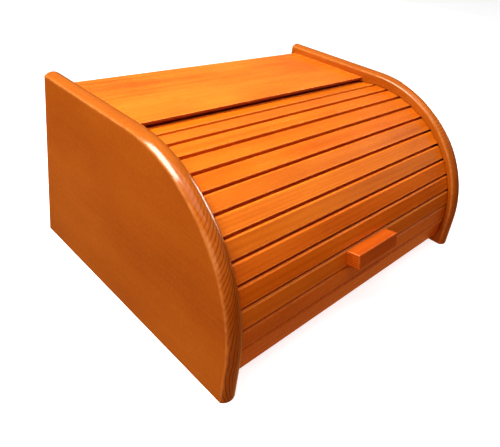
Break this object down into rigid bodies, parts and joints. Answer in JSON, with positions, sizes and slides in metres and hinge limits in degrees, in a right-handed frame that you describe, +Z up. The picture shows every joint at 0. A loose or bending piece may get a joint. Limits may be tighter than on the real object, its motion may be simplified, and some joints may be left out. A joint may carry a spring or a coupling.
{
  "type": "roll-top bread box",
  "caption": "Stained wooden bread box with crowned quarter-round side panels, a flat top board and a slatted roll-top front with a rectangular pull.",
  "frame": {"origin": "on the table, under the middle of the whole box's width and depth, pull handle included", "axes": "+X along the box to the right as seen from the front, -Y to the front where the curtain closes, +Z up"},
  "size_m": [0.4, 0.3037, 0.187],
  "materials": {
    "side_panel_wood": "beech or alder stained orange-brown, satin lacquer",
    "board_wood": "beech or alder stained orange-brown, satin lacquer",
    "slat_wood": "beech or alder stained orange-brown, satin lacquer",
    "handle_wood": "beech or alder stained orange-brown, satin lacquer",
    "dowel_wood": "bare beech dowel",
    "screw_steel": "zinc-plated steel",
    "canvas": "unbleached cotton canvas, glued"
  },
  "bodies": {
    "carcass": {"left_side_panel": "side_panel_wood", "right_side_panel": "side_panel_wood", "top_board": "board_wood", "base_board": "board_wood", "back_panel": "board_wood", "top_board_dowels": "dowel_wood", "base_board_dowels": "dowel_wood", "back_panel_dowels": "dowel_wood", "back_panel_screws": "screw_steel"},
    "roll_curtain": {"lead_slat": "slat_wood", "slat_01": "slat_wood", "slat_02": "slat_wood", "slat_03": "slat_wood", "slat_04": "slat_wood", "slat_05": "slat_wood", "slat_06": "slat_wood", "slat_07": "slat_wood", "slat_08": "slat_wood", "slat_09": "slat_wood", "slat_10": "slat_wood", "slat_11": "slat_wood", "slat_12": "slat_wood", "slat_13": "slat_wood", "pull_handle": "handle_wood", "handle_screws": "screw_steel", "canvas_backing": "canvas"}
  },
  "joints": [
    {"name": "curtain_roll", "type": "hinge", "parent": "carcass", "child": "roll_curtain", "pos_m": [0, -0.0042, 0.036], "axis": [-1, 0, 0], "range_deg": [0, 77]}
  ]
}
